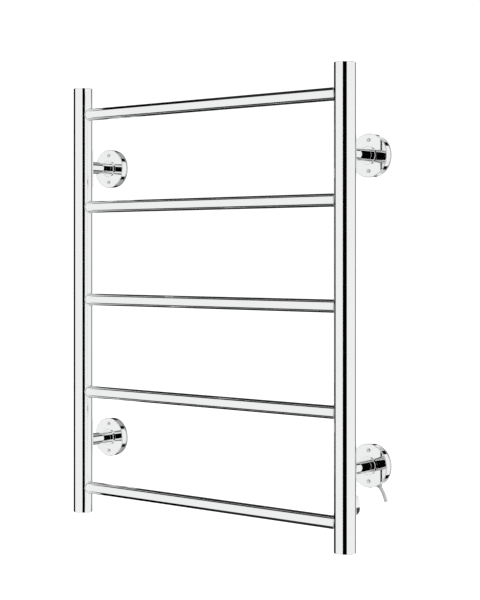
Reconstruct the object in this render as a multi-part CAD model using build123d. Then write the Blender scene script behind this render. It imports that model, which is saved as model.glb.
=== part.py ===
"""Electrically heated ladder towel rail: two posts, five bars, four wall brackets and a switch.

The wall is the plane y = 0 and the rail stands in front of it, at negative y.  +Z is up and +X is to
the right for someone who faces the wall.  The origin is the middle of the four wall brackets.
All sizes are in millimetres.
"""

import os
from math import cos, radians, sin, sqrt, tan

from build123d import *

# ---- posts and bars ---------------------------------------------------------------------------
rail_height = 680.0  # end to end, over both end caps
post_spacing = 512.0  # axis to axis
post_radius = 16.0
post_wall = 1.2
reach = 72.0  # wall to post axis
bar_radius = 9.5
bar_wall = 1.0
bar_entry = 2.0  # how far a bar's end stands inside the post's bore
top_margin = 42.5  # top of the rail to the first bar's axis
bar_pitch = 148.0  # first to second, second to third and third to fourth bar
upper_bar_count = 4  # bars at the regular pitch, counted from the top
bottom_margin = 40.0  # bottom of the rail to the last bar's axis
weld_gap = 0.1  # radial room of a welded tube in its hole

# ---- post end caps ----------------------------------------------------------------------------
cap_head = 2.0
cap_edge = 0.8  # rounding of the visible edge
cap_plug_depth = 8.0
cap_plug_wall = 1.5

# ---- wall brackets ----------------------------------------------------------------------------
bracket_spacing = 440.0  # upper to lower bracket
lower_bracket_height = 114.0  # bottom of the rail to the lower brackets
plate_inset = 1.0  # the plate is this much smaller in radius than the flange
plate_thickness = 4.5
wall_hole_radius = 2.5
wall_hole_spacing = 40.0  # the two wall screws of a plate stand side by side
wall_hole_sink_radius = 4.8
wall_hole_sink_depth = 2.3
seam = 0.5  # shadow gap between the wall plate and the flange's rim
flange_radius = 31.0
flange_depth = 9.0
flange_wall = 2.0
flange_face = 2.5
flange_edge = 1.0
arm_radius = 9.5
arm_wall = 2.0
collar_radius = 13.0
collar_depth = 2.5
collar_edge = 0.7
slide_gap = 0.05  # radial room of turned pieces that fit into one another
spigot_length = 14.0
spigot_bore_radius = 4.0
grub_screw_radius = 2.0
grub_screw_from_post = 7.0  # post surface to the locking screw's axis

# ---- flange screws ----------------------------------------------------------------------------
flange_screw_spacing = 44.0  # one above and one below the arm
flange_screw_radius = 1.5
flange_screw_length = 9.0
screw_head_radius = 2.75
screw_head_height = 1.6
screw_head_edge = 0.7
screw_slot_width = 0.8
screw_slot_depth = 0.7
screw_slot_turn = 30.0  # from upright
screw_tip_room = 1.0  # threaded hole past the screw's tip
standoff_radius = 3.5

# ---- mains cable ------------------------------------------------------------------------------
cable_radius = 2.5
grommet_radius = 3.4
grommet_collar_radius = 4.2
grommet_collar = 1.2
grommet_behind_rim = 3.0
grommet_before_rim = 2.0
grommet_gap = 0.2
cable_exit_angle = -62.0  # around the lower right flange, from +X
cable_exit_slope = 33.0  # first direction, away from straight down towards +X
cable_inside_run = 8.9  # from the flange's rim back to the tail's inner end
cable_first_run = 10.5
tail_steps = [(6.4, 0.8, -9.6), (3.3, 0.6, -11.1)]  # the tail's further runs (x, y, z)
supply_first_run = 9.0  # on from the tail's inner end, before it turns into the arm
supply_into_arm = 14.0  # first straight run inside the arm
supply_rise = 0.3  # of the cable in the arm

# ---- heating cable and wiring inside ----------------------------------------------------------
heater_radius = 2.5
heater_forward = 4.0  # cable plane in front of the post axes
heater_side = 5.0  # upright runs, outward from the post axes
heater_turn = 12.0
heater_rest_gap = 0.1  # above the bars' inner surface
heater_start_below_bracket = 18.0
heater_end_above_bar = 6.0
end_seal_radius = 3.5
end_seal_length = 16.0
splice_radius = 4.0
splice_length = 24.0
cutout_width = 7.5
cutout_depth = 4.0
cutout_height = 16.0
cutout_side = 7.0  # from the post axis, away from the heating cable
cutout_above_bracket = 20.0
core_radius = 0.8
core_circle = 1.3  # the three cores around the supply cable's axis
core_bend = 3.0
core_short_bend = 2.0
core_shortest_bend = 1.5
core_pair = 1.4  # the two cores in the splice, each side of its axis
live_drop = 1.5  # behind the post's axis
neutral_turn = 5.5  # behind the post's axis
neutral_rise = 9.0  # above the splice
cutout_core_rise = 6.5  # above the splice
earth_turn = 7.0  # behind the post's axis
sheath_end = 9.0  # behind the right post's axis
earth_tag_thickness = 0.8
earth_tag_half_width = 3.5
earth_tag_height = 10.0
earth_tag_above_bracket = 14.0
earth_tag_solder = 0.15

# ---- switch on the back of the right post -----------------------------------------------------
switch_above_bottom = 64.0  # bottom of the rail to the switch's centre
switch_width = 22.0
switch_height = 31.0
switch_proud = 5.3  # above the back of the post
switch_edge = 0.8
switch_split = -2.5  # hood above, rocker below, counted from the switch's centre
switch_split_gap = 0.55
switch_seat_gap = 0.1  # housing to post
slot_half_width = 6.6  # hole in the post for the switch body
slot_low = -13.0
slot_high = 9.0
body_gap = 0.3
body_depth = 12.0  # below the back of the post
body_shelf = 1.5  # below the back of the post, under the rocker
body_wall = 1.2
rocker_lift = 1.2  # rocker to post
rocker_wall = 1.4
rocker_pivot_height = -8.8  # from the switch's centre
rocker_pivot_proud = 0.6
rocker_pin_radius = 0.8
rocker_pin_gap = 0.05
lug_inner = 4.9
lug_outer = 6.1
lug_half_height = 2.0
stem_half_width = 3.0
stem_half_height = 1.8
stem_depth = 4.0
terminal_half_width = 2.4
terminal_thickness = 0.8
terminal_past_axis = 0.5  # beyond the post's axis
terminal_heights = [5.0, -5.0]  # from the switch's centre
lens_radius = 2.2
lens_height = 7.5  # from the switch's centre
lens_depth = 2.0
lens_dome = 0.6
led_radius = 1.5
led_length = 4.0

# ---- places that follow from the sizes --------------------------------------------------------
plate_radius = flange_radius - plate_inset
bottom_z = -bracket_spacing / 2 - lower_bracket_height
top_z = bottom_z + rail_height
post_x = {"left": -post_spacing / 2, "right": post_spacing / 2}
bracket_z = {"upper": bracket_spacing / 2, "lower": -bracket_spacing / 2}
bar_heights = [top_z - top_margin - i * bar_pitch for i in range(upper_bar_count)]
bar_heights.append(bottom_z + bottom_margin)
post_bore = post_radius - post_wall
bar_bore = bar_radius - bar_wall
arm_bore = arm_radius - arm_wall
post_back = -reach + post_radius
flange_back = -plate_thickness - seam
flange_front = flange_back - flange_depth
flange_inside = flange_front + flange_face
cable_y = (flange_inside - plate_thickness) / 2
switch_z = bottom_z + switch_above_bottom


def rod(radius, length, x, y, z, axis="Z"):
    """Cylinder that starts at a point and runs along +X, +Y or +Z."""
    turn = {"X": Rot(0, 90, 0), "Y": Rot(-90, 0, 0), "Z": Rot(0, 0, 0)}[axis]
    lift = Align.MIN
    return Pos(x, y, z) * turn * Cylinder(radius, length, align=(Align.CENTER, Align.CENTER, lift))


def ring(outer, inner, length, x, y, z, axis="Z"):
    """Round tube that starts at a point and runs along +X, +Y or +Z."""
    return rod(outer, length, x, y, z, axis) - rod(inner, length, x, y, z, axis)


def block(low, high):
    """Box between two opposite corners."""
    size = [b - a for a, b in zip(low, high)]
    middle = [(a + b) / 2 for a, b in zip(low, high)]
    return Pos(*middle) * Box(*size)


def round_edge(shape, axis, position, radius, size):
    """Round the circular edge of a given radius that lies at a position along an axis."""
    edges = shape.edges().filter_by(GeomType.CIRCLE)
    edges = edges.filter_by(lambda e: abs(e.radius - size) < 1e-3)
    edges = edges.filter_by(lambda e: abs(getattr(e.arc_center, axis) - position) < 1e-3)
    return fillet(edges, radius)


def run_along(points, radii, section_radius):
    """Round wire or tube of a given section along straight runs joined by tangent arcs."""
    path = FilletPolyline(*points, radius=radii)
    start = Plane(origin=path @ 0, z_dir=path % 0)
    return sweep(start * Circle(section_radius), path), path


def corner_radii(points):
    """The largest even arc at each corner: 0.45 of the shorter run beside it."""
    places = [Vector(*p) for p in points]
    runs = [b - a for a, b in zip(places, places[1:])]
    radii = []
    for before, after in zip(runs, runs[1:]):
        half_turn = radians(before.get_angle(after)) / 2
        radii.append(0.45 * min(before.length, after.length) / tan(half_turn))
    return radii


def save(node, shape):
    """Write one sub-part."""
    export_step(shape, f"parts/{node}.step")


# ---- posts, caps and bars ---------------------------------------------------------------------
def make_post(side):
    """Round tube with a hole for each bar on its inner side."""
    x = post_x[side]
    length = rail_height - 2 * cap_head
    post = ring(post_radius, post_bore, length, x, -reach, bottom_z + cap_head)
    start = x if side == "left" else x - post_radius
    for z in bar_heights:
        post -= rod(bar_radius + weld_gap, post_radius, start, -reach, z, "X")
    if side == "right":
        post -= block(
            (x - slot_half_width, -reach, switch_z + slot_low),
            (x + slot_half_width, post_back, switch_z + slot_high),
        )
        post -= rod(spigot_bore_radius, post_radius, x, -reach, bracket_z["lower"], "Y")
    return post


def make_end_cap(side, end):
    """Flat round lid with a hollow plug that holds in the post's bore."""
    plug = post_bore - slide_gap
    cap = rod(post_radius, cap_head, 0, 0, 0)
    cap += rod(plug, cap_plug_depth, 0, 0, cap_head)
    cap -= rod(plug - cap_plug_wall, cap_plug_depth, 0, 0, cap_head)
    cap = round_edge(cap, "Z", 0, cap_edge, post_radius)
    if end == "top":
        cap = Pos(0, 0, rail_height) * Rot(180, 0, 0) * cap
    return Pos(post_x[side], -reach, bottom_z) * cap


def make_bar(z):
    """Plain tube whose ends stand a little inside both posts."""
    length = post_spacing - 2 * (post_bore - bar_entry)
    return ring(bar_radius, bar_bore, length, -length / 2, -reach, z, "X")


# ---- wall brackets, made about the bracket's own axis -----------------------------------------
def make_wall_plate():
    """Disc that is screwed to the wall, with two threaded posts for the flange screws."""
    plate = rod(plate_radius, plate_thickness, 0, -plate_thickness, 0, "Y")
    reach_in = -plate_thickness - flange_inside
    hole_length = flange_screw_length - flange_face + screw_tip_room
    for side in (-1, 1):
        z = side * flange_screw_spacing / 2
        hole = flange_screw_radius + slide_gap
        plate += rod(standoff_radius, reach_in, 0, flange_inside, z, "Y")
        plate -= rod(hole, hole_length, 0, flange_inside, z, "Y")
        x = side * wall_hole_spacing / 2
        plate -= rod(wall_hole_radius, plate_thickness, x, -plate_thickness, 0, "Y")
        sink = Cone(
            wall_hole_sink_radius,
            wall_hole_radius,
            wall_hole_sink_depth,
            align=(Align.CENTER, Align.CENTER, Align.MIN),
        )
        plate -= Pos(x, -plate_thickness, 0) * Rot(-90, 0, 0) * sink
    return plate


def make_flange():
    """Shallow cup that covers the wall plate, open towards the wall."""
    flange = rod(flange_radius, flange_depth, 0, flange_front, 0, "Y")
    flange -= rod(flange_radius - flange_wall, flange_depth, 0, flange_inside, 0, "Y")
    flange -= rod(arm_radius + slide_gap, flange_face, 0, flange_front, 0, "Y")
    for side in (-1, 1):
        z = side * flange_screw_spacing / 2
        flange -= rod(flange_screw_radius + slide_gap, flange_face, 0, flange_front, z, "Y")
    return round_edge(flange, "Y", flange_front, flange_edge, flange_radius)


def make_arm():
    """Tube from the flange to the post, cut to the post's round back."""
    length = flange_inside + reach
    arm = ring(arm_radius, arm_bore, length, 0, -reach, 0, "Y")
    arm -= rod(post_radius, 2 * post_radius, 0, -reach, -post_radius)
    hole = grub_screw_radius + slide_gap
    return arm - rod(hole, arm_radius, 0, post_back + grub_screw_from_post, -arm_radius)


def make_collar():
    """Turned ring around the arm where it meets the flange."""
    collar = ring(
        collar_radius, arm_radius + slide_gap, collar_depth, 0, flange_front - collar_depth, 0, "Y"
    )
    return round_edge(collar, "Y", flange_front - collar_depth, collar_edge, collar_radius)


def make_spigot():
    """Bored plug on the back of the post, over which the arm slides."""
    outer = arm_bore - slide_gap
    spigot = rod(outer, post_radius + spigot_length, 0, -reach, 0, "Y")
    spigot -= rod(spigot_bore_radius, post_radius + spigot_length, 0, -reach, 0, "Y")
    return spigot - rod(post_radius, 2 * post_radius, 0, -reach, -post_radius)


def make_grub_screw():
    """Headless screw through the arm's underside that bears on the spigot."""
    length = arm_wall - slide_gap
    y = post_back + grub_screw_from_post
    screw = rod(grub_screw_radius, length, 0, y, -arm_radius + slide_gap)
    socket = grub_screw_radius / 2
    return screw - rod(socket, length / 2, 0, y, -arm_radius + slide_gap)


def make_flange_screw(side):
    """Slotted round-head screw above or below the arm."""
    z = side * flange_screw_spacing / 2
    head_front = flange_front - screw_head_height
    screw = rod(screw_head_radius, screw_head_height, 0, head_front, z, "Y")
    screw = round_edge(screw, "Y", head_front, screw_head_edge, screw_head_radius)
    screw += rod(flange_screw_radius, flange_screw_length, 0, flange_front, z, "Y")
    slot = Box(screw_slot_width, 2 * screw_slot_depth, 2 * screw_head_radius)
    return screw - Pos(0, head_front, z) * Rot(0, screw_slot_turn, 0) * slot


# ---- mains cable at the lower right bracket ---------------------------------------------------
def cable_line():
    """Where the cable leaves the flange, and its first direction."""
    angle = radians(cable_exit_angle)
    slope = radians(cable_exit_slope)
    edge = Vector(flange_radius * cos(angle), cable_y, flange_radius * sin(angle))
    return edge, Vector(sin(slope), 0, -cos(slope))


def on_cable_line(shape, distance):
    """Lay a shape modelled along +Z on the cable's first line, from a distance past the rim."""
    edge, direction = cable_line()
    return Plane(origin=edge + direction * distance, z_dir=direction) * shape


def make_grommet():
    """Rubber sleeve in the flange's rim, with a thin collar against the outside."""
    bottom = (Align.CENTER, Align.CENTER, Align.MIN)
    length = grommet_behind_rim + grommet_before_rim
    sleeve = Cylinder(grommet_radius, length, align=bottom)
    sleeve = on_cable_line(sleeve, -grommet_behind_rim)
    collar = Cylinder(grommet_collar_radius, 2 * grommet_before_rim, align=bottom)
    collar = on_cable_line(collar, -grommet_before_rim)
    bore = on_cable_line(Cylinder(cable_radius + grommet_gap, 4 * length), 0)
    collar -= rod(flange_radius, -flange_front, 0, flange_front, 0, "Y")
    collar &= rod(flange_radius + grommet_collar, -flange_front, 0, flange_front, 0, "Y")
    return sleeve + collar - bore


def tail_points():
    """The mains tail's route, from inside the flange to its cut end."""
    edge, direction = cable_line()
    start = edge - direction * cable_inside_run
    points = [start, start + direction * cable_first_run]
    for step in tail_steps:
        points.append(points[-1] + Vector(*step))
    return [(p.X, p.Y, p.Z) for p in points]


def supply_points():
    """The cable's route from the tail through the arm and into the right post."""
    direction = cable_line()[1]
    start = Vector(*tail_points()[0])
    turn = start - direction * supply_first_run
    return [
        (start.X, start.Y, start.Z),
        (turn.X, turn.Y, turn.Z),
        (0, cable_y, 0),
        (0, cable_y - supply_into_arm, supply_rise),
        (0, -reach + sheath_end, 0),
    ]


# ---- heating cable and wiring, made about the lower right bracket's point on the post axis ----
def heater_points():
    """Serpentine through all five bars, from the right post up to the left post's top."""
    y = -reach - heater_forward
    drop = sqrt((bar_bore - heater_radius) ** 2 - heater_forward**2) - heater_rest_gap
    side = post_spacing / 2 + heater_side
    points = [(side, y, bracket_z["lower"] - heater_start_below_bracket)]
    for i, z in enumerate(reversed(bar_heights)):
        way = 1 if i % 2 == 0 else -1
        points.append((way * side, y, z - drop))
        points.append((-way * side, y, z - drop))
    points.append((-side, y, bar_heights[0] + bar_radius + heater_end_above_bar))
    return points


def core_start(which):
    """Where a core leaves the supply cable's sheath: live below, neutral and earth above."""
    angle = radians({"live": -90, "neutral": 30, "earth": 150}[which])
    return (core_circle * cos(angle), sheath_end, core_circle * sin(angle))


def core(points, bend):
    """One insulated core along right-angled runs."""
    return run_along(points, bend, core_radius)[0]


def make_live_core():
    """From the supply cable down to the switch's upper terminal."""
    x, y, z = core_start("live")
    end = switch_z + terminal_heights[0] + terminal_thickness / 2 - bracket_z["lower"]
    return core([(x, y, z), (x, live_drop, z), (x, live_drop, end)], core_bend)


def make_switched_core():
    """From the cut-out down past the switch and in to its lower terminal."""
    x = -cutout_side - cutout_width / 4
    end = switch_z + terminal_heights[1] - bracket_z["lower"]
    points = [(x, 0, cutout_above_bracket), (x, 0, end), (-terminal_half_width, 0, end)]
    return core(points, core_bend)


def make_neutral_core():
    """From the supply cable up and over into the splice."""
    x, y, z = core_start("neutral")
    splice_top = splice_length - heater_start_below_bracket
    top = splice_top + neutral_rise
    end = (heater_side + core_pair, -heater_forward, splice_top)
    turn = neutral_turn
    points = [(x, y, z), (x, turn, z), (x, turn, top), (end[0], end[1], top), end]
    return core(points, [core_short_bend, core_bend, core_bend])


def make_cutout_core():
    """From the cut-out down and across into the splice."""
    x = -cutout_side + cutout_width / 4
    splice_top = splice_length - heater_start_below_bracket
    top = splice_top + cutout_core_rise
    end = (heater_side - core_pair, -heater_forward, splice_top)
    points = [(x, 0, cutout_above_bracket), (x, 0, top), (end[0], end[1], top), end]
    return core(points, [core_bend, core_bend])


def make_earth_core():
    """From the supply cable back to the tag on the post's inner wall."""
    x, y, z = core_start("earth")
    height = earth_tag_above_bracket + earth_tag_height / 2
    end = post_bore - earth_tag_thickness - earth_tag_solder
    points = [(x, y, z), (x, earth_turn, z), (x, earth_turn, height), (x, end, height)]
    return core(points, [core_shortest_bend, core_bend])


def make_earth_tag():
    """Small curved tag spot-welded to the inside of the post."""
    low = earth_tag_above_bracket
    shell = ring(post_bore, post_bore - earth_tag_thickness, earth_tag_height, 0, 0, low)
    half = earth_tag_half_width
    return shell & block((-half, 0, low), (half, post_bore, low + earth_tag_height))


def make_cutout():
    """Flat thermal cut-out beside the wiring."""
    half = cutout_width / 2
    low = (-cutout_side - half, -cutout_depth / 2, cutout_above_bracket)
    high = (-cutout_side + half, cutout_depth / 2, cutout_above_bracket + cutout_height)
    return block(low, high)


# ---- switch, made about its centre on the back line of the post -------------------------------
def outline_block(inset, low, high, back, front):
    """Slice of the switch's rounded outline between two heights and two depths."""
    width = switch_width - 2 * inset
    height = switch_height - 2 * inset
    slab = extrude(Plane.XZ * SlotOverall(height, width, rotation=90), -(front - back))
    slab = Pos(0, back, 0) * slab
    return slab & block((-width, back, low), (width, front, high))


def soften_front(shape):
    """Round the edges around the switch's outer face."""
    edges = shape.edges().filter_by(lambda e: abs(e.center().Y - switch_proud) < 1e-3)
    return fillet(edges, switch_edge)


def post_shape(radius):
    """The post's own cylinder, or a wider one, in the switch's coordinates."""
    return rod(radius, 2 * switch_height, 0, -post_radius, -switch_height)


def make_switch_housing():
    """Hood on the back of the post, with the switch body behind it inside the post."""
    half = slot_half_width - body_gap
    low = slot_low + body_gap
    high = slot_high - body_gap
    hood_low = switch_split + switch_split_gap / 2
    hood = outline_block(0, hood_low, switch_height, -post_radius, switch_proud)
    hood = soften_front(hood)
    hood -= post_shape(post_radius + switch_seat_gap)
    housing = block((-half, -body_depth, low), (half, -body_shelf, high))
    housing += block((-half, -body_shelf, hood_low), (half, 0, high)) + hood
    for side in (-1, 1):
        inner, outer = sorted((side * lug_inner, side * lug_outer))
        lug_low = rocker_pivot_height - lug_half_height
        lug_high = rocker_pivot_height + lug_half_height
        top = rocker_pivot_proud + lug_half_height
        housing += block((inner, -body_shelf, lug_low), (outer, top, lug_high))
    cavity_low = low + body_wall
    cavity_high = switch_split - body_wall
    cavity = half - body_wall
    housing -= block((-cavity, -body_depth + body_wall, cavity_low), (cavity, 0, cavity_high))
    pin = rocker_pin_radius + slide_gap
    housing -= rod(pin, 2 * lug_outer, -lug_outer, rocker_pivot_proud, rocker_pivot_height, "X")
    lens_hole = lens_radius + slide_gap
    housing -= rod(lens_hole, lens_depth, 0, switch_proud - lens_depth, lens_height, "Y")
    led_hole = led_radius + slide_gap
    led_start = switch_proud - lens_depth - led_length
    return housing - rod(led_hole, led_length, 0, led_start, lens_height, "Y")


def make_rocker():
    """Paddle below the hood, hollow underneath, with a stem that works the contacts."""
    top = switch_split - switch_split_gap / 2
    rocker = outline_block(0, -switch_height, top, -post_radius, switch_proud)
    rocker = soften_front(rocker)
    rocker -= post_shape(post_radius + rocker_lift)
    hollow = outline_block(
        rocker_wall, -switch_height, top - rocker_wall, -post_radius, switch_proud - rocker_wall
    )
    rocker -= hollow
    low = rocker_pivot_height - stem_half_height
    high = rocker_pivot_height + stem_half_height
    rocker += block(
        (-stem_half_width, -stem_depth, low), (stem_half_width, switch_proud - rocker_wall, high)
    )
    bore = rocker_pin_radius + rocker_pin_gap
    length = 2 * stem_half_width
    return rocker - rod(
        bore, length, -stem_half_width, rocker_pivot_proud, rocker_pivot_height, "X"
    )


def make_rocker_pin():
    """Steel pin across the two lugs."""
    return rod(
        rocker_pin_radius, 2 * lug_outer, -lug_outer, rocker_pivot_proud, rocker_pivot_height, "X"
    )


def make_terminals():
    """The two blades that stand out of the switch body inside the post."""
    half = terminal_half_width
    blades = []
    for z in terminal_heights:
        low = (-half, -post_radius - terminal_past_axis, z - terminal_thickness / 2)
        high = (half, -body_depth, z + terminal_thickness / 2)
        blades.append(block(low, high))
    return Compound(children=blades)


def make_lens():
    """Small domed lens of the pilot lamp."""
    start = switch_proud - lens_depth
    lens = rod(lens_radius, lens_depth + lens_dome, 0, start, lens_height, "Y")
    return round_edge(lens, "Y", switch_proud + lens_dome, lens_dome, lens_radius)


def make_led():
    """Lamp behind the lens."""
    start = switch_proud - lens_depth - led_length
    return rod(led_radius, led_length, 0, start, lens_height, "Y")


# ---- build ------------------------------------------------------------------------------------
def build_ladder():
    """Posts, end caps and bars."""
    for side in ("left", "right"):
        save(f"{side}_post", make_post(side))
        for end in ("top", "bottom"):
            save(f"{side}_post_{end}_cap", make_end_cap(side, end))
    for number, z in enumerate(bar_heights, start=1):
        save(f"bar_{number}", make_bar(z))


def build_brackets():
    """The four wall brackets with their screws."""
    grub_screws = []
    flange_screws = []
    edge_hole = on_cable_line(Cylinder(grommet_radius, 4 * flange_wall), 0)
    for level in ("upper", "lower"):
        for side in ("left", "right"):
            place = Pos(post_x[side], 0, bracket_z[level])
            flange = make_flange()
            if (level, side) == ("lower", "right"):
                flange -= edge_hole
            save(f"wall_plate_{level}_{side}", place * make_wall_plate())
            save(f"flange_{level}_{side}", place * flange)
            save(f"arm_{level}_{side}", place * make_arm())
            save(f"collar_{level}_{side}", place * make_collar())
            save(f"spigot_{level}_{side}", place * make_spigot())
            grub_screws.append(place * make_grub_screw())
            flange_screws += [place * make_flange_screw(way) for way in (1, -1)]
    save("arm_grub_screws", Compound(children=grub_screws))
    save("flange_screws", Compound(children=flange_screws))


def build_cable():
    """Grommet, mains tail and the cable's inner run."""
    place = Pos(post_x["right"], 0, bracket_z["lower"])
    points = tail_points()
    radii = corner_radii(points)
    tail, path = run_along(points, radii, cable_radius)
    ratio = tail.volume / (Circle(cable_radius).area * path.length)
    print("mains tail radii", [round(r, 1) for r in radii], "length", round(path.length, 2))
    print("mains tail volume over section times length", round(ratio, 5))
    inner = run_along(supply_points(), corner_radii(supply_points()), cable_radius)[0]
    save("cable_grommet", place * make_grommet())
    save("mains_tail", place * tail)
    save("supply_cable", place * inner)


def build_heater():
    """Heating cable, its two end fittings and the wiring in the right post."""
    points = heater_points()
    save("heating_cable", run_along(points, heater_turn, heater_radius)[0])
    save("heater_end_seal", rod(end_seal_radius, end_seal_length, *points[-1]))
    save("heater_splice", rod(splice_radius, splice_length, *points[0]))
    place = Pos(post_x["right"], -reach, bracket_z["lower"])
    save("live_core", place * make_live_core())
    save("neutral_core", place * make_neutral_core())
    save("earth_core", place * make_earth_core())
    save("switched_core", place * make_switched_core())
    save("cutout_core", place * make_cutout_core())
    save("earth_tag", place * make_earth_tag())
    save("thermal_cutout", place * make_cutout())


def build_switch():
    """Switch unit on the back of the right post."""
    place = Pos(post_x["right"], post_back, switch_z)
    save("switch_housing", place * make_switch_housing())
    save("switch_rocker", place * make_rocker())
    save("rocker_pin", place * make_rocker_pin())
    save("switch_terminals", place * make_terminals())
    save("pilot_lens", place * make_lens())
    save("pilot_lamp", place * make_led())


os.makedirs("parts", exist_ok=True)
build_ladder()
build_brackets()
build_cable()
build_heater()
build_switch()
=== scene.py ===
# %% [markdown]
# # A heated ladder towel rail
# The rail is two round posts with five round bars welded between them. Four brackets hold it off a wall.
# A small switch sits low on the back of the right post, and a short cable leaves the lower right flange.
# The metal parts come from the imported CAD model, already in place. This lesson gives them their finishes,
# adds the details a maker would notice, and sets up the studio.

import bpy
from math import pi, radians
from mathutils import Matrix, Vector


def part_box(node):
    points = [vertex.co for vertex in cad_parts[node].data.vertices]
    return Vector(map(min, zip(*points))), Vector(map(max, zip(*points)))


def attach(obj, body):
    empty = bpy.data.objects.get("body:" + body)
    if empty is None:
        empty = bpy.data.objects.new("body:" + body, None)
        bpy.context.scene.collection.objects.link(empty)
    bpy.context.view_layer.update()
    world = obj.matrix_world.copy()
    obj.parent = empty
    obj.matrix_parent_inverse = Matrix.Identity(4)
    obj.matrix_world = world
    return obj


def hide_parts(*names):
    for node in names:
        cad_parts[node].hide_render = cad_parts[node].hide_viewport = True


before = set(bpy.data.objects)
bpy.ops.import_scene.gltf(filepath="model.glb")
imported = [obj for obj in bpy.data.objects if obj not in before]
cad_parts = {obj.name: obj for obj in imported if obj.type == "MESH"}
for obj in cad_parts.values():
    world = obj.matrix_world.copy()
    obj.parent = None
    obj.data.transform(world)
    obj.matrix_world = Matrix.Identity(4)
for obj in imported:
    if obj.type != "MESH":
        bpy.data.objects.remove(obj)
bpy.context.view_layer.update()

# %% [markdown]
# ## Sums on sockets
# A finish is a small graph of nodes. Adding every Math node by hand hides the idea behind the wiring.
# So an output is wrapped in a class that answers to + - * and **, and each sum adds the node it needs.
# Every other node comes from one method, which sets the node's options first and its sockets after.


# %% The socket and the graph
class Out:
    """An output of a node, which takes part in sums."""

    def __init__(self, graph, socket):
        self.graph = graph
        self.socket = socket

    def sum_of(self, operation, a, b):
        return self.graph.node("ShaderNodeMath", {"operation": operation}, {0: a, 1: b})["Value"]

    def __add__(self, other):
        return self.sum_of("ADD", self, other)

    def __radd__(self, other):
        return self.sum_of("ADD", other, self)

    def __sub__(self, other):
        return self.sum_of("SUBTRACT", self, other)

    def __rsub__(self, other):
        return self.sum_of("SUBTRACT", other, self)

    def __mul__(self, other):
        return self.sum_of("MULTIPLY", self, other)

    def __rmul__(self, other):
        return self.sum_of("MULTIPLY", other, self)

    def __pow__(self, other):
        return self.sum_of("POWER", self, other)


class Made:
    """A node that was just made. Its outputs are asked for by name or number."""

    def __init__(self, graph, node):
        self.graph = graph
        self.node = node

    def __getitem__(self, name):
        return Out(self.graph, self.node.outputs[name])


class Graph:
    """A node tree that is filled one node at a time."""

    def __init__(self, tree):
        self.tree = tree
        tree.nodes.clear()

    def node(self, kind, settings=None, sockets=None):
        """One node: its settings come first, then the values or links of its sockets."""
        made = self.tree.nodes.new(kind)
        for name, value in (settings or {}).items():
            if name == "stops":
                stops = made.color_ramp.elements
                while len(stops) < len(value):
                    stops.new(1.0)
                for stop, (position, level) in zip(stops, value):
                    stop.position = position
                    stop.color = (level, level, level, 1)
            else:
                setattr(made, name, value)
        for name, value in (sockets or {}).items():
            if isinstance(value, Out):
                self.tree.links.new(value.socket, made.inputs[name])
            else:
                made.inputs[name].default_value = value
        return Made(self, made)


print("a graph is ready")

# %% [markdown]
# ## Camera
# The rail is seen from its right front, level, from a little above its middle. A long lens keeps the
# far post close to the near post's size. The frame is shifted down rather than the camera tilted, which
# keeps the posts upright, as a product photographer's shift lens does.

# %% Camera
camera_place = Vector((1.4007, -1.7147, 0.0801))
camera_turn = radians(39.04)

eye = bpy.data.cameras.new("studio_camera")
eye.lens = 86.4
eye.sensor_width = 36.0
eye.shift_y = -0.0765
eye.clip_start = 0.05
eye.clip_end = 60
camera = bpy.data.objects.new("studio_camera", eye)
bpy.context.scene.collection.objects.link(camera)
camera.location = camera_place
camera.rotation_euler = (pi / 2, 0, camera_turn)
bpy.context.scene.camera = camera
print("camera stands", round(camera_place.length, 3), "m from the middle of the rail")

# %% [markdown]
# ## Mains tail
# The tail is a round flexible cable. It comes out of a notch in the lower right flange's rim, runs on
# down for a little over two centimetres, and ends in a clean square cut, ready for the electrician.
# A cable is a length of something with one thickness, so it is drawn as a curve with a round bevel. The
# curve is a NURBS spline. Its control points pull the line towards them and never make it kink. The bevel
# is one metre and each point's radius scales it down, because a curve's box grows by its points' radius.

# %% Mains tail
tail_route = [
    (0.265707, -0.0080, -0.239907),
    (0.271426, -0.0080, -0.248713),
    (0.277826, -0.0072, -0.258313),
    (0.281126, -0.0066, -0.269413),
]
tail_diameter = 0.005


def cable_curve(name, route, radius):
    """A round cable along a smooth NURBS line with the route's points as its control points."""
    curve = bpy.data.curves.new(name, "CURVE")
    curve.dimensions = "3D"
    curve.resolution_u = 12
    curve.bevel_depth = 1.0
    curve.bevel_resolution = 8
    curve.use_fill_caps = True
    line = curve.splines.new("NURBS")
    line.points.add(len(route) - 1)
    for point, place in zip(line.points, route):
        point.co = (*place, 1)
        point.radius = radius
    line.order_u = 3
    line.use_endpoint_u = True
    cable = bpy.data.objects.new(name, curve)
    bpy.context.scene.collection.objects.link(cable)
    return cable


tail = cable_curve("mains_cable", tail_route, tail_diameter / 2)
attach(tail, "rail")
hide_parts("mains_tail")
print("tail has", len(tail_route), "control points")

# %% [markdown]
# ## Studio
# Mirror-polished metal has no look of its own: it shows the room. A product studio for it is a white tent
# with a few dark things in it, and every dark line on the metal is the picture of one of them. The world is
# the tent. Its roof and its foot have a black stretch on the left, which draws the lines along the level
# bars, and a grey one elsewhere. Only polished surfaces see these stretches, so the room stays white.

# %% White tent, floor and light
tent = bpy.data.worlds.new("white_tent")
tent.use_nodes = True
bpy.context.scene.world = tent
tent_graph = Graph(tent.node_tree)
seen = tent_graph.node("ShaderNodeLightPath")["Is Glossy Ray"]
towards = tent_graph.node("ShaderNodeTexCoord")["Generated"]
axes = tent_graph.node("ShaderNodeSeparateXYZ", {}, {0: towards})
height = tent_graph.node("ShaderNodeMath", {"operation": "ABSOLUTE"}, {0: axes["Z"]})["Value"]
forward = -1.0 * axes["Y"]
tilt = tent_graph.node("ShaderNodeMath", {"operation": "ARCTAN2"}, {0: height, 1: forward})["Value"]


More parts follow.
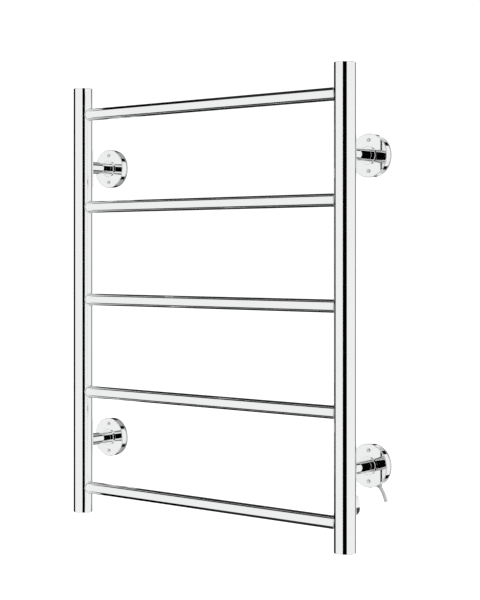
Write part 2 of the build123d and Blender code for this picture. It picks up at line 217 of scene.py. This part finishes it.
def step(graph, value, start, end):
    """Rises smoothly from 0 to 1 as the value goes from start to end."""
    settings = {"interpolation_type": "SMOOTHSTEP"}
    sockets = {"Value": value, "From Min": start, "From Max": end}
    return graph.node("ShaderNodeMapRange", settings, sockets)["Result"]


def strip(graph, value, low, high, edge):
    """1 between two limits and 0 outside them, with soft edges."""
    rise = step(graph, value, low, low + edge)
    return rise * (1 - step(graph, value, high, high + edge))


tent_brightness = 1.15
tent_dimming = 0.24  # how much less of the tent a polished surface sees
roof_darkness = 0.89
grey_share = 0.62

left_side = strip(tent_graph, axes["X"], -0.84, -0.40, 0.08)
black_roof = strip(tent_graph, tilt, radians(63), radians(160), radians(3)) * left_side
black_roof = black_roof * strip(tent_graph, height, 0.20, 0.85, 0.08)
grey_roof = strip(tent_graph, tilt, radians(100), radians(144), radians(5)) * (1 - left_side)
grey_roof = grey_share * grey_roof * step(tent_graph, height, 0.26, 0.34)
roof = black_roof + grey_roof
tent_level = tent_brightness - seen * (tent_dimming + roof_darkness * roof)
tent_light = tent_graph.node(
    "ShaderNodeBackground", {}, {"Color": (1, 1, 1, 1), "Strength": tent_level}
)
tent_graph.node("ShaderNodeOutputWorld", {}, {"Surface": tent_light["Background"]})
bpy.context.scene.view_settings.view_transform = "Standard"


def staged_plane(name, corners, material):
    """A flat card of the studio between its corners."""
    mesh = bpy.data.meshes.new(name)
    mesh.from_pydata(corners, [], [tuple(range(len(corners)))])
    mesh.materials.append(material)
    card = bpy.data.objects.new(name, mesh)
    bpy.context.scene.collection.objects.link(card)
    return card


def studio_finish(name, colour, glow):
    """A plain finish for a studio surface, clear from behind."""
    material = bpy.data.materials.new(name)
    material.use_nodes = True
    graph = Graph(material.node_tree)
    front = graph.node(
        "ShaderNodeBsdfPrincipled",
        {},
        {
            "Base Color": (*colour, 1),
            "Roughness": 0.9,
            "Specular IOR Level": 0.0,
            "Emission Color": (1, 1, 1, 1),
            "Emission Strength": glow,
        },
    )
    clear = graph.node("ShaderNodeBsdfTransparent")
    behind = graph.node("ShaderNodeNewGeometry")["Backfacing"]
    both = graph.node("ShaderNodeMixShader", {}, {0: behind, 1: front["BSDF"], 2: clear["BSDF"]})
    graph.node("ShaderNodeOutputMaterial", {}, {"Surface": both["Shader"]})
    return material


floor_z = -1.3
floor_half = 30.0
floor = staged_plane(
    "studio_floor",
    [
        (-floor_half, -floor_half, floor_z),
        (floor_half, -floor_half, floor_z),
        (floor_half, floor_half, floor_z),
        (-floor_half, floor_half, floor_z),
    ],
    studio_finish("white_floor", (0.9, 0.9, 0.9), 0.2),
)
floor.visible_glossy = False
print("floor lies", floor_z, "m below the rail's middle")

# %% [markdown]
# ## Black flags
# The posts' dark bands are the pictures of flags. A flag is a black card at a real place, so its picture
# moves rightly from piece to piece and from view to view. The flags are hidden from the camera and cast no
# shadow, and only the metal sees them.

# %% Black flags
flag_black = bpy.data.materials.new("flag_black")
flag_black.use_nodes = True
flag_graph = Graph(flag_black.node_tree)
velvet = flag_graph.node("ShaderNodeEmission", {}, {"Color": (0, 0, 0, 1), "Strength": 0.0})
flag_graph.node("ShaderNodeOutputMaterial", {}, {"Surface": velvet["Emission"]})


def flag(name, start, end, half_height):
    """An upright black card over a line on the floor, seen only by polished surfaces."""
    card = staged_plane(
        name,
        [
            (*start, -half_height),
            (*end, -half_height),
            (*end, half_height),
            (*start, half_height),
        ],
        flag_black,
    )
    card.visible_camera = False
    card.visible_diffuse = False
    card.visible_shadow = False
    return card


flag("front_flag", (0.511, -1.258), (1.549, -1.034), 1.9)
flag("left_flag", (-1.6, -0.70), (-1.6, 0.56), 2.2)
flag("back_flag", (0.55, 2.1), (1.0, 1.9), 2.2)
print("flags stand at the front, the left and the back")

# %% [markdown]
# ## Key light
# One soft box on the right gives the matt pieces, such as the cable and the switch, a bright and a dark
# side. The metal doesn't see it, because its picture would be a hard white square.

# %% Soft key light
key_place = Vector((2.2, 0.2, 0.9))
key = bpy.data.lights.new("soft_key", "AREA")
key.shape = "RECTANGLE"
key.size = 1.2
key.size_y = 1.6
key.energy = 18
key_light = bpy.data.objects.new("soft_key", key)
bpy.context.scene.collection.objects.link(key_light)
key_light.location = key_place
key_light.rotation_euler = key_place.to_track_quat("Z", "Y").to_euler()
key_light.visible_glossy = False
key_light.visible_camera = False
print("key light of", key.energy, "W")

# %% [markdown]
# ## Polished steel
# The tubes are stainless steel, ground and then buffed to a mirror. A mirror is never quite even: the
# buffing wheel leaves hair-fine lines around the tube, a wiping cloth leaves faint smears, and drying
# drops leave rings. All of that lives in the roughness and in a very small bump, while the colour stays
# almost neutral.


# %% Helpers for finishes
def finish(name):
    """A new material and its empty graph."""
    material = bpy.data.materials.new(name)
    material.use_nodes = True
    return material, Graph(material.node_tree)


def stretched(graph, scale):
    """Object coordinates scaled along each axis, which stretches a pattern across them."""
    place = graph.node("ShaderNodeTexCoord")["Object"]
    return graph.node("ShaderNodeMapping", {}, {"Vector": place, "Scale": scale})["Vector"]


def grain(graph, vector, scale, detail=3.0):
    """Soft noise of a given scale."""
    sockets = {"Vector": vector, "Scale": scale, "Detail": detail, "Roughness": 0.55}
    return graph.node("ShaderNodeTexNoise", {}, sockets)["Fac"]


def ramp(graph, value, stops):
    """The value read along a ramp of grey levels."""
    return graph.node("ShaderNodeValToRGB", {"stops": stops}, {"Fac": value})["Color"]


def between(graph, factor, a, b):
    """A colour between two colours."""
    settings = {"data_type": "RGBA"}
    sockets = {0: factor, 6: a, 7: b}
    return graph.node("ShaderNodeMix", settings, sockets)[2]


def close(graph, shader):
    """Send the shader to the material's output."""
    graph.node("ShaderNodeOutputMaterial", {}, {"Surface": shader["BSDF"]})


# %% Polished steel
def polished_steel(name, lines, tone, roughness):
    """Mirror-buffed steel with hair lines along the axes that have the small scale."""
    material, graph = finish(name)
    hair = grain(graph, stretched(graph, lines), 1.0, 2.0)
    smear = grain(graph, stretched(graph, (14, 14, 9)), 1.0, 4.0)
    smear_mask = ramp(graph, smear, [(0.48, 0.0), (0.72, 1.0)])
    drop = graph.node(
        "ShaderNodeTexVoronoi",
        {"feature": "DISTANCE_TO_EDGE"},
        {"Vector": stretched(graph, (70, 70, 55)), "Scale": 1.0},
    )["Distance"]
    drop_mask = ramp(graph, drop, [(0.0, 1.0), (0.03, 0.0)])
    rough = roughness + 0.008 * hair + 0.022 * smear_mask + 0.012 * drop_mask * smear_mask
    dull = tuple(0.965 * level for level in tone)
    colour = between(graph, smear_mask * 0.6, (*tone, 1), (*dull, 1))
    bump = graph.node(
        "ShaderNodeBump", {}, {"Height": hair, "Strength": 0.03, "Distance": 0.00004}
    )["Normal"]
    shader = graph.node(
        "ShaderNodeBsdfPrincipled",
        {},
        {"Base Color": colour, "Metallic": 1.0, "Roughness": rough, "Normal": bump},
    )
    close(graph, shader)
    return material


steel_tone = (0.935, 0.94, 0.945)
post_steel = polished_steel("polished_post_steel", (60, 60, 2500), steel_tone, 0.02)
bar_steel = polished_steel("polished_bar_steel", (2500, 60, 60), steel_tone, 0.02)
arm_steel = polished_steel("polished_arm_steel", (60, 2500, 60), steel_tone, 0.02)
flange_steel = polished_steel("polished_flange_steel", (300, 300, 300), steel_tone, 0.02)
print("polished steel in four directions of grain")

# %% [markdown]
# ## Other metals
# The screws are nickel plated, and a little satin, so that they catch light from any side. The wall plates
# are pressed from brushed sheet, and nobody polishes them because the flange covers them. The spigots, the
# grub screws and the rocker's pin are turned, which leaves rings round the axis.


# %% Satin and turned metal
def satin_metal(name, tone, roughness, lines, depth):
    """Metal with visible tool lines along the axes that have the small scale."""
    material, graph = finish(name)
    line = grain(graph, stretched(graph, lines), 1.0, 4.0)
    patch = grain(graph, stretched(graph, (60, 60, 60)), 1.0, 3.0)
    rough = roughness + 0.12 * line + 0.08 * patch
    dark = tuple(0.82 * level for level in tone)
    colour = between(graph, line * 0.5 + patch * 0.3, (*tone, 1), (*dark, 1))
    bump = graph.node(
        "ShaderNodeBump", {}, {"Height": line, "Strength": 0.25, "Distance": depth}
    )["Normal"]
    shader = graph.node(
        "ShaderNodeBsdfPrincipled",
        {},
        {"Base Color": colour, "Metallic": 1.0, "Roughness": rough, "Normal": bump},
    )
    close(graph, shader)
    return material


screw_nickel = satin_metal("satin_screw_nickel", (0.99, 0.99, 0.985), 0.34, (900, 900, 900), 0.00001)
plate_steel = satin_metal("brushed_plate_steel", (0.72, 0.72, 0.73), 0.26, (90, 400, 2200), 0.00002)
turned_steel = satin_metal("turned_fixing_steel", (0.66, 0.66, 0.68), 0.22, (400, 3200, 400), 0.00002)
contact_brass = satin_metal("tinned_contact_brass", (0.80, 0.78, 0.70), 0.24, (900, 900, 2400), 0.00001)
print("satin, brushed, turned and tinned metal")

# %% [markdown]
# ## Plastic and rubber
# The cable's sheath is extruded PVC: faint lines run along it, and it takes on dust where hands have been.
# The switch is moulded with a fine spark-eroded grain. Rubber is duller and darker in its pores. They all
# share one recipe with different grain, and the grain drives colour, roughness and bump together.


# %% Plastic and rubber
def moulded(name, tone, roughness, pores, depth, dust=0.15, shine=0.5):
    """Moulded or extruded polymer with pores and a little dust."""
    material, graph = finish(name)
    fine = grain(graph, stretched(graph, pores), 1.0, 5.0)
    cloud = grain(graph, stretched(graph, (45, 45, 45)), 1.0, 4.0)
    worn = ramp(graph, cloud, [(0.42, 0.0), (0.70, 1.0)])
    pale = tuple(min(1.0, level * 0.8 + 0.16) for level in tone)
    deep = tuple(level * 0.86 for level in tone)
    colour = between(graph, fine, (*deep, 1), (*tone, 1))
    colour = between(graph, worn * dust, colour, (*pale, 1))
    rough = roughness + 0.14 * fine + 0.10 * worn
    bump = graph.node(
        "ShaderNodeBump", {}, {"Height": fine, "Strength": 0.5, "Distance": depth}
    )["Normal"]
    shader = graph.node(
        "ShaderNodeBsdfPrincipled",
        {},
        {
            "Base Color": colour,
            "Roughness": rough,
            "Specular IOR Level": shine,
            "Normal": bump,
        },
    )
    close(graph, shader)
    return material


cable_pvc = moulded("grey_cable_pvc", (0.42, 0.42, 0.43), 0.42, (900, 900, 160), 0.00004)
grommet_rubber = moulded("grommet_rubber", (0.40, 0.40, 0.41), 0.62, (1400, 1400, 1400), 0.00003)
heater_silicone = moulded("heater_silicone", (0.45, 0.09, 0.06), 0.50, (700, 700, 700), 0.00003)
sleeve_black = moulded("shrink_sleeve", (0.035, 0.035, 0.038), 0.48, (600, 600, 600), 0.00003)
core_brown = moulded("core_brown", (0.20, 0.09, 0.045), 0.38, (900, 900, 900), 0.00002)
core_blue = moulded("core_blue", (0.05, 0.16, 0.42), 0.38, (900, 900, 900), 0.00002)
cutout_ceramic = moulded("cutout_ceramic", (0.80, 0.76, 0.66), 0.66, (1800, 1800, 1800), 0.00002)
hood_plastic = moulded("switch_hood_plastic", (0.66, 0.66, 0.66), 0.34, (2600, 2600, 2600), 0.00003, 0.1)
rocker_black = (0.016, 0.016, 0.018)
rocker_plastic = moulded("switch_rocker_plastic", rocker_black, 0.30, (2600, 2600, 2600), 0.00003, 0.05)
print("nine polymers")

# %% [markdown]
# ## Earth wire and pilot lamp
# The earth wire is green with a yellow stripe, which is a rule everywhere, so its colour is a pattern round
# the wire. The pilot lens is clear amber plastic over a small lamp. Light passes through it, so it gets
# transmission and a faint cloudiness.


# %% Earth wire and pilot lamp
def striped_earth(name, green, yellow):
    """Green insulation with a yellow stripe in bands."""
    material, graph = finish(name)
    band = graph.node(
        "ShaderNodeTexWave",
        {"wave_type": "BANDS", "bands_direction": "DIAGONAL"},
        {"Vector": stretched(graph, (220, 220, 220)), "Scale": 1.0, "Distortion": 0.4},
    )["Fac"]
    fine = grain(graph, stretched(graph, (900, 900, 900)), 1.0)
    stripe = ramp(graph, band, [(0.56, 0.0), (0.62, 1.0)])
    colour = between(graph, stripe, (*green, 1), (*yellow, 1))
    shader = graph.node(
        "ShaderNodeBsdfPrincipled", {}, {"Base Color": colour, "Roughness": 0.36 + 0.12 * fine}
    )
    close(graph, shader)
    return material


def clear_lens(name, tone, through):
    """Clear coloured plastic, slightly cloudy in patches."""
    material, graph = finish(name)
    cloud = grain(graph, stretched(graph, (500, 500, 500)), 1.0)
    deep = tuple(level * 0.8 for level in tone)
    colour = between(graph, cloud, (*tone, 1), (*deep, 1))
    shader = graph.node(
        "ShaderNodeBsdfPrincipled",
        {},
        {
            "Base Color": colour,
            "Roughness": 0.06 + 0.10 * cloud,
            "IOR": 1.49,
            "Transmission Weight": through,
        },
    )
    close(graph, shader)
    return material


earth_insulation = striped_earth("earth_insulation", (0.04, 0.30, 0.08), (0.80, 0.66, 0.05))
lens_amber = clear_lens("amber_lens_plastic", (0.95, 0.52, 0.10), 0.6)
lamp_glass = clear_lens("pilot_lamp_glass", (0.95, 0.93, 0.88), 0.8)
print("earth wire, lens and lamp")

# %% [markdown]
# ## Finishes onto pieces
# Each CAD node keeps its shape and gets a finish by its material slot's name. The posts and the bars share
# one slot name in the CAD model, but their buffing lines run different ways, so the node's name decides.

# %% Finishes onto pieces
finish_of_slot = {
    "polished_cap": flange_steel,
    "polished_flange": flange_steel,
    "polished_arm": arm_steel,
    "polished_screw": screw_nickel,
    "wall_plate_steel": plate_steel,
    "turned_steel": turned_steel,
    "tinned_brass": contact_brass,
    "grey_sheath": cable_pvc,
    "grey_rubber": grommet_rubber,
    "silicone_cable": heater_silicone,
    "black_sleeve": sleeve_black,
    "brown_core": core_brown,
    "blue_core": core_blue,
    "earth_core": earth_insulation,
    "cream_ceramic": cutout_ceramic,
    "switch_grey": hood_plastic,
    "switch_black": rocker_plastic,
    "amber_lens": lens_amber,
    "lamp_glass": lamp_glass,
}
for name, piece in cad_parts.items():
    for place in piece.material_slots:
        if name.startswith("bar_"):
            place.material = bar_steel
        elif name.endswith("_post"):
            place.material = post_steel
        else:
            place.material = finish_of_slot[place.material.name]
tail.data.materials.append(cable_pvc)
print("finished", len(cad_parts), "nodes")

# %% [markdown]
# ## Geometry Nodes helpers
# Some details repeat, or follow a rule: a weld bead round every joint, and the ribs on the rocker. A
# Geometry Nodes tree states the rule once, with its sizes as named inputs. The tree runs on a few base
# points, and its result is kept as a plain mesh.


# %% Geometry Nodes helpers
def rule_tree(name, inputs):
    """An empty tree with a geometry input, named inputs and a geometry output."""
    tree = bpy.data.node_groups.new(name, "GeometryNodeTree")
    tree.interface.new_socket("Geometry", in_out="INPUT", socket_type="NodeSocketGeometry")
    for label, kind in inputs:
        tree.interface.new_socket(label, in_out="INPUT", socket_type=f"NodeSocket{kind}")
    tree.interface.new_socket("Geometry", in_out="OUTPUT", socket_type="NodeSocketGeometry")
    graph = Graph(tree)
    return graph, graph.node("NodeGroupInput")


def end_rule(graph, instances, material):
    """Makes instances real, smooths them, gives them their finish and ends the tree."""
    real = graph.node("GeometryNodeRealizeInstances", {}, {"Geometry": instances})
    smooth = graph.node("GeometryNodeSetShadeSmooth", {}, {"Geometry": real["Geometry"]})
    painted = graph.node(
        "GeometryNodeSetMaterial", {}, {"Geometry": smooth["Geometry"], "Material": material}
    )
    graph.node("NodeGroupOutput", {}, {"Geometry": painted["Geometry"]})


def base_points(name, places, turns):
    """Loose points, each with its turn about the upright axis."""
    mesh = bpy.data.meshes.new(name)
    mesh.from_pydata(places, [], [])
    turn = mesh.attributes.new("turn", "FLOAT", "POINT")
    turn.data.foreach_set("value", turns)
    return mesh


def grown(name, base, graph, values):
    """Runs a tree on a base mesh and keeps the result as a plain mesh."""
    piece = bpy.data.objects.new(name, base)
    bpy.context.scene.collection.objects.link(piece)
    rule = piece.modifiers.new("rule", "NODES")
    rule.node_group = graph.tree
    for item in graph.tree.interface.items_tree:
        if item.in_out == "INPUT" and item.name in values:
            rule[item.identifier] = values[item.name]
    depsgraph = bpy.context.evaluated_depsgraph_get()
    result = bpy.data.meshes.new_from_object(piece.evaluated_get(depsgraph))
    piece.modifiers.remove(rule)
    piece.data = result
    print(name, "has", len(result.polygons), "faces")
    return piece


# %% [markdown]
# ## Weld beads
# Each bar's end is welded all round into its post, then the bead is ground and polished down to a thin
# bright fillet. The bead lies on the line where a bar's cylinder meets the post's cylinder. That line has a
# simple rule: go round the bar's circle, and at each point move out to the post's surface.

# %% Weld beads
bead_graph, bead_given = rule_tree(
    "weld_bead_rule",
    [
        ("Post radius", "Float"),
        ("Bar radius", "Float"),
        ("Bead radius", "Float"),
        ("Ripple", "Float"),
        ("Steel", "Material"),
    ],
)
bar_circle = bead_graph.node(
    "GeometryNodeCurvePrimitiveCircle", {}, {"Resolution": 96, "Radius": bead_given["Bar radius"]}
)
round_bar = bead_graph.node("GeometryNodeInputPosition")["Position"]
round_bar = bead_graph.node("ShaderNodeSeparateXYZ", {}, {0: round_bar})
outward = (bead_given["Post radius"] ** 2.0 - round_bar["X"] ** 2.0) ** 0.5
saddle = bead_graph.node(
    "ShaderNodeCombineXYZ", {}, {"X": outward, "Y": round_bar["X"], "Z": round_bar["Y"]}
)
saddle_line = bead_graph.node(
    "GeometryNodeSetPosition",
    {},
    {"Geometry": bar_circle["Curve"], "Position": saddle["Vector"]},
)
section = bead_graph.node(
    "GeometryNodeCurvePrimitiveCircle",
    {},
    {"Resolution": 10, "Radius": bead_given["Bead radius"]},
)
bead = bead_graph.node(
    "GeometryNodeCurveToMesh",
    {},
    {"Curve": saddle_line["Geometry"], "Profile Curve": section["Curve"]},
)
turn = bead_graph.node(
    "GeometryNodeInputNamedAttribute", {"data_type": "FLOAT"}, {"Name": "turn"}
)["Attribute"]
about_z = bead_graph.node("ShaderNodeCombineXYZ", {}, {"Z": turn})["Vector"]
about_z = bead_graph.node("FunctionNodeEulerToRotation", {}, {"Euler": about_z})["Rotation"]
beads = bead_graph.node(
    "GeometryNodeInstanceOnPoints",
    {},
    {"Points": bead_given["Geometry"], "Instance": bead["Mesh"], "Rotation": about_z},
)
beads = bead_graph.node("GeometryNodeRealizeInstances", {}, {"Geometry": beads["Instances"]})
lumps = bead_graph.node("ShaderNodeTexNoise", {}, {"Scale": 900.0, "Detail": 2.0})["Fac"]
bead_normal = bead_graph.node("GeometryNodeInputNormal")["Normal"]
bead_push = bead_graph.node(
    "ShaderNodeVectorMath",
    {"operation": "SCALE"},
    {0: bead_normal, "Scale": (lumps - 0.5) * bead_given["Ripple"]},
)
rippled = bead_graph.node(
    "GeometryNodeSetPosition",
    {},
    {"Geometry": beads["Geometry"], "Offset": bead_push["Vector"]},
)
end_rule(bead_graph, rippled["Geometry"], bead_given["Steel"])


def middle(node):
    """The middle of a node's box."""
    corner_low, corner_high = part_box(node)
    return (Vector(corner_low) + Vector(corner_high)) / 2


def half_height(node):
    """Half of a node's height, which is the radius of a level round bar."""
    corner_low, corner_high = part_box(node)
    return (corner_high[2] - corner_low[2]) / 2


bar_names = [f"bar_{number}" for number in range(1, 6)]
bar_radius = half_height("bar_1")
post_low, post_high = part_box("left_post")
post_radius = (post_high[0] - post_low[0]) / 2
weld_places = []
weld_turns = []
for post, direction in (("left_post", 0.0), ("right_post", pi)):
    for bar in bar_names:
        weld_places.append((middle(post).x, middle(bar).y, middle(bar).z))
        weld_turns.append(direction)
weld_steel = polished_steel("polished_weld_steel", (900, 900, 900), (0.86, 0.86, 0.87), 0.07)
bead_lift = 0.0001  # the bead's middle stands this far outside both tubes
welds = grown(
    "weld_beads",
    base_points("weld_beads", weld_places, weld_turns),
    bead_graph,
    {
        "Post radius": post_radius + bead_lift,
        "Bar radius": bar_radius + bead_lift,
        "Bead radius": 0.0006,
        "Ripple": 0.0001,
        "Steel": weld_steel,
    },
)
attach(welds, "rail")

# %% [markdown]
# ## Rocker ribs
# A finger finds the black rocker by touch, so its lower end has a few low ribs. They are rounded bars in a
# row, half sunk into the face. One rib is a short curve with a round section, and the tree repeats it.

# %% Rocker ribs
rib_graph, rib_given = rule_tree(
    "rocker_rib_rule",
    [
        ("Half length", "Float"),
        ("Rib radius", "Float"),
        ("Pitch", "Float"),
        ("Count", "Int"),
        ("Plastic", "Material"),
    ],
)
rib_end = rib_graph.node("ShaderNodeCombineXYZ", {}, {"X": rib_given["Half length"]})["Vector"]
rib_start = rib_graph.node(
    "ShaderNodeCombineXYZ", {}, {"X": -1.0 * rib_given["Half length"]}
)["Vector"]
rib_line = rib_graph.node("GeometryNodeCurvePrimitiveLine", {}, {"Start": rib_start, "End": rib_end})
rib_line = rib_graph.node(
    "GeometryNodeResampleCurve", {}, {"Curve": rib_line["Curve"], "Count": 17}
)
along = rib_graph.node("GeometryNodeSplineParameter")["Factor"] * 2.0 - 1.0
swell = (1.0 - along ** 6.0) ** 0.5
rib_line = rib_graph.node(
    "GeometryNodeSetCurveRadius", {}, {"Curve": rib_line["Curve"], "Radius": swell}
)
rib_section = rib_graph.node(
    "GeometryNodeCurvePrimitiveCircle",
    {},
    {"Resolution": 14, "Radius": rib_given["Rib radius"]},
)
rib = rib_graph.node(
    "GeometryNodeCurveToMesh",
    {},
    {
        "Curve": rib_line["Curve"],
        "Profile Curve": rib_section["Curve"],
        "Scale": swell,
        "Fill Caps": True,
    },
)
rib_step = rib_graph.node("ShaderNodeCombineXYZ", {}, {"Z": -1.0 * rib_given["Pitch"]})["Vector"]
rib_row = rib_graph.node(
    "GeometryNodeMeshLine", {}, {"Count": rib_given["Count"], "Offset": rib_step}
)
ribs = rib_graph.node(
    "GeometryNodeInstanceOnPoints", {}, {"Points": rib_row["Mesh"], "Instance": rib["Mesh"]}
)
rib_rows = rib_graph.node(
    "GeometryNodeInstanceOnPoints",
    {},
    {"Points": rib_given["Geometry"], "Instance": ribs["Instances"]},
)
end_rule(rib_graph, rib_rows["Instances"], rib_given["Plastic"])

rocker_low, rocker_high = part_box("switch_rocker")
rib_x = (rocker_low[0] + rocker_high[0]) / 2
rib_above_end = 0.0078  # the rocker's lower end to its top rib
rib_top = rocker_low[2] + rib_above_end
ribs = grown(
    "rocker_ribs",
    base_points("rocker_ribs", [(rib_x, rocker_high[1], rib_top)], [0.0]),
    rib_graph,
    {
        "Half length": 0.0042,
        "Rib radius": 0.00028,
        "Pitch": 0.0013,
        "Count": 4,
        "Plastic": rocker_plastic,
    },
)
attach(ribs, "rocker")
